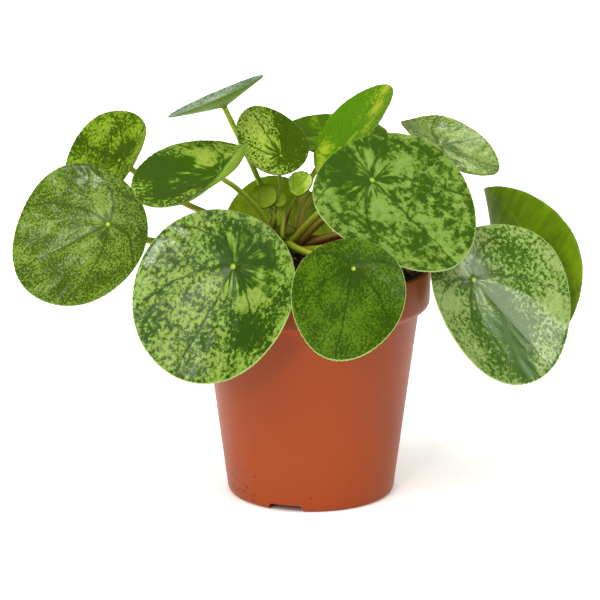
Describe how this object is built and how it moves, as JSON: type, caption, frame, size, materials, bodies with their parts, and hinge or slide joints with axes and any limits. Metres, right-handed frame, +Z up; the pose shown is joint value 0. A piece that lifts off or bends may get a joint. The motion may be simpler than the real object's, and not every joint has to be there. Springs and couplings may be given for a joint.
{
  "type": "potted pilea plant",
  "caption": "Pilea plant with round mottled leaves on long stalks, growing from a short stem in a terracotta-coloured plastic nursery pot filled with soil.",
  "frame": {"origin": "middle of the pot's underside, on the surface that the pot stands on", "axes": "+Z up along the pot's axis; -Y is the side that faces the camera in the picture; +X is the picture's right"},
  "size_m": [0.2856, 0.2036, 0.205],
  "materials": {
    "pot_plastic": "satin",
    "potting_soil": "matte",
    "stem_bark": "matte",
    "leaf_stalk": "satin",
    "mottled_leaf": "satin",
    "green_leaf": "satin",
    "young_leaf": "satin"
  },
  "bodies": {
    "root": {"pot": "pot_plastic", "soil": "potting_soil", "stem": "stem_bark", "stalk_left": "leaf_stalk", "leaf_left": "mottled_leaf", "stalk_left_back": "leaf_stalk", "leaf_left_back": "mottled_leaf", "stalk_high_left": "leaf_stalk", "leaf_high_left": "mottled_leaf", "stalk_upper_left": "leaf_stalk", "leaf_upper_left": "green_leaf", "stalk_front_left": "leaf_stalk", "leaf_front_left": "green_leaf", "stalk_inner_top": "leaf_stalk", "leaf_inner_top": "mottled_leaf", "stalk_back": "leaf_stalk", "leaf_back": "green_leaf", "stalk_top": "leaf_stalk", "leaf_top": "mottled_leaf", "stalk_front_right": "leaf_stalk", "leaf_front_right": "green_leaf", "stalk_right_high": "leaf_stalk", "leaf_right_high": "mottled_leaf", "stalk_right_back": "leaf_stalk", "leaf_right_back": "green_leaf", "stalk_right": "leaf_stalk", "leaf_right": "mottled_leaf", "stalk_front": "leaf_stalk", "leaf_front": "green_leaf", "stalk_behind": "leaf_stalk", "leaf_behind": "green_leaf", "stalk_young_left": "leaf_stalk", "leaf_young_left": "young_leaf", "stalk_young_right": "leaf_stalk", "leaf_young_right": "young_leaf", "stalk_bud": "leaf_stalk", "leaf_bud": "young_leaf"}
  },
  "joints": []
}
